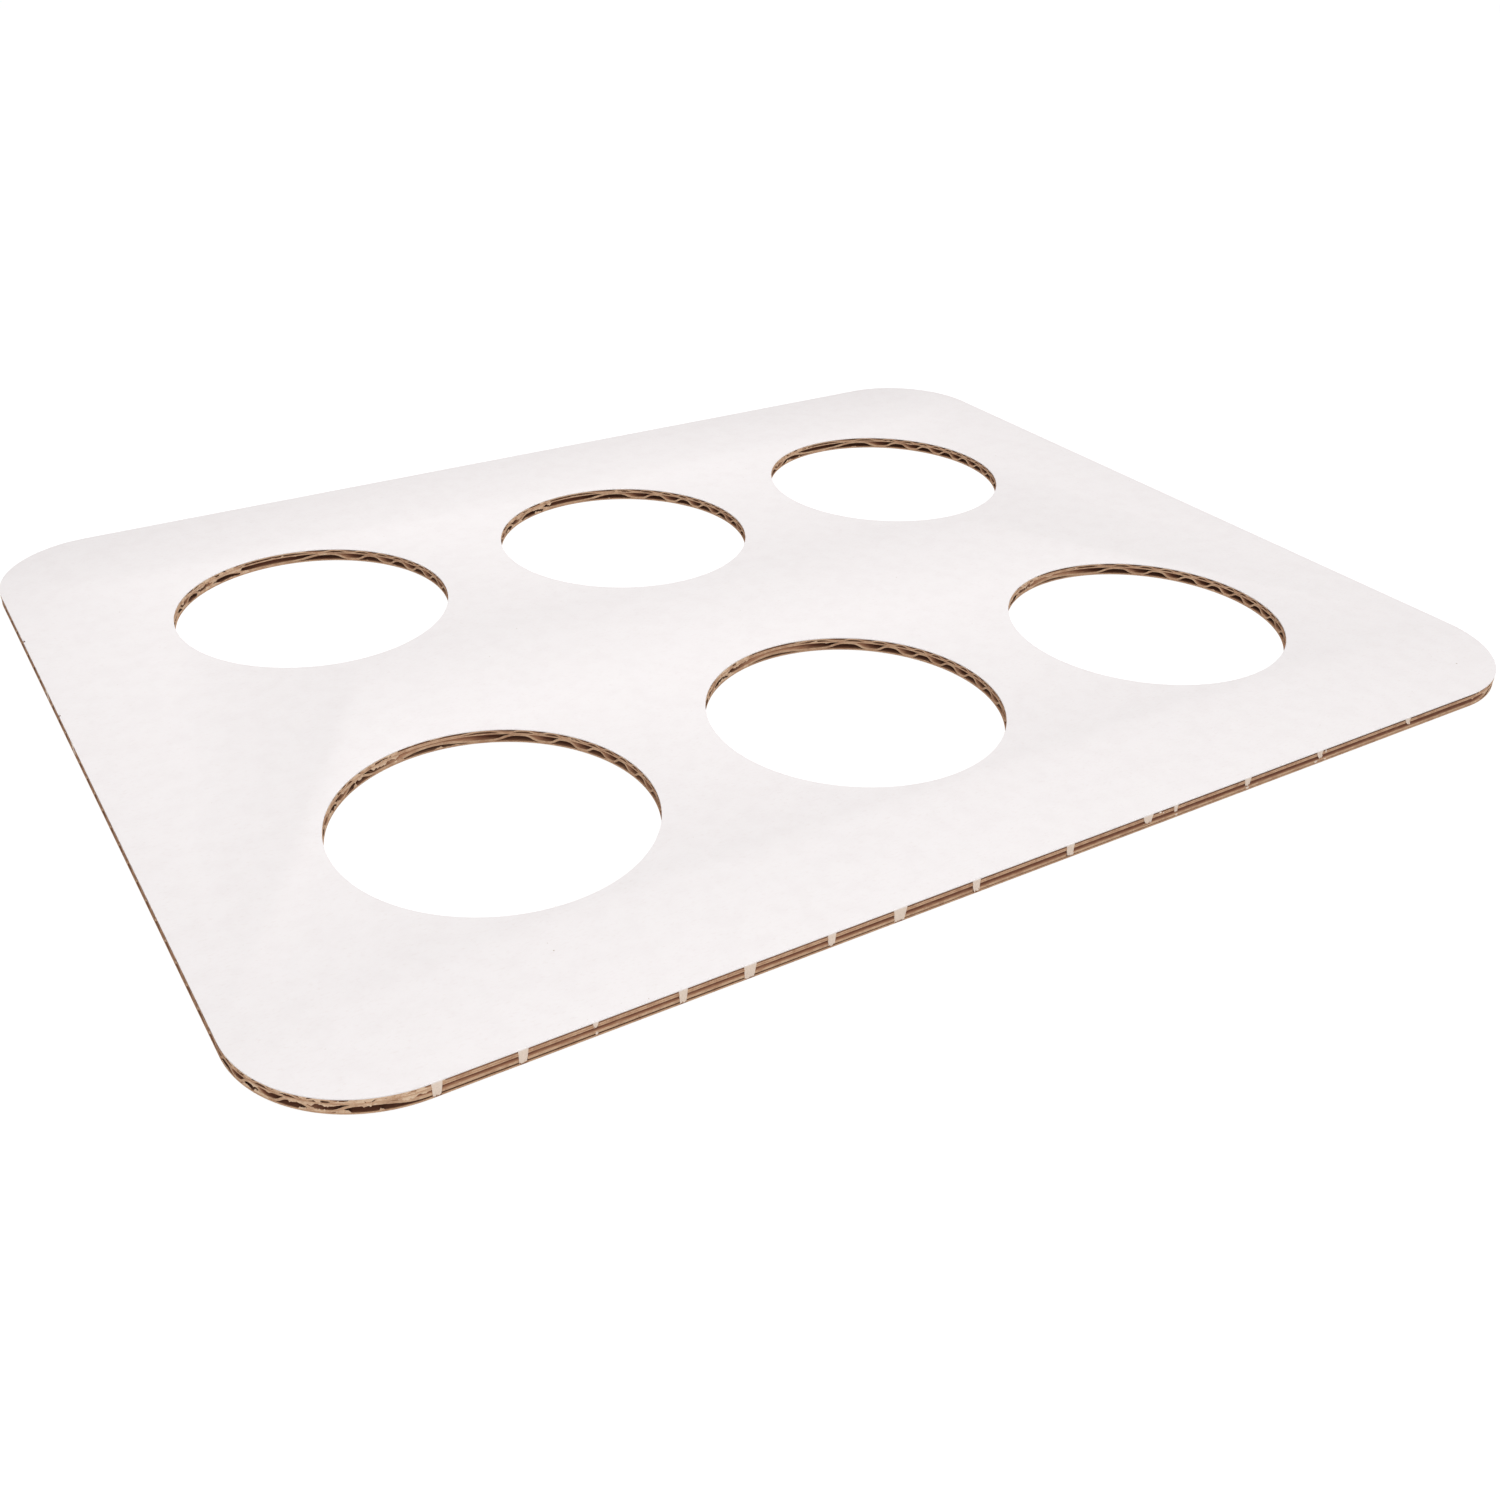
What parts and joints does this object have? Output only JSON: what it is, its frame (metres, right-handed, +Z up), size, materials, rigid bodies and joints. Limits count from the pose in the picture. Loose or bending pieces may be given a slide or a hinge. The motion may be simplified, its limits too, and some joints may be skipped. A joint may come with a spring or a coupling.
{
  "type": "cardboard cup carrier",
  "caption": "Flat corrugated board carrier with rounded corners and round holes that hold tapered drinking cups.",
  "frame": {"origin": "middle of the sheet's outline, on the face that it rests on", "axes": "+X along the long edge and the flutes, +Y to the back edge, +Z up through the white face"},
  "size_m": [0.349, 0.2764, 0.0037],
  "materials": {
    "white_liner": "matt white paper liner with a faint warm mottle",
    "kraft_liner": "unbleached kraft liner, matt",
    "fluting_paper": "unbleached fluting paper, matt"
  },
  "bodies": {
    "root": {"top_liner": "white_liner", "upper_fluting": "fluting_paper", "middle_liner": "kraft_liner", "lower_fluting": "fluting_paper", "bottom_liner": "kraft_liner"}
  },
  "joints": []
}
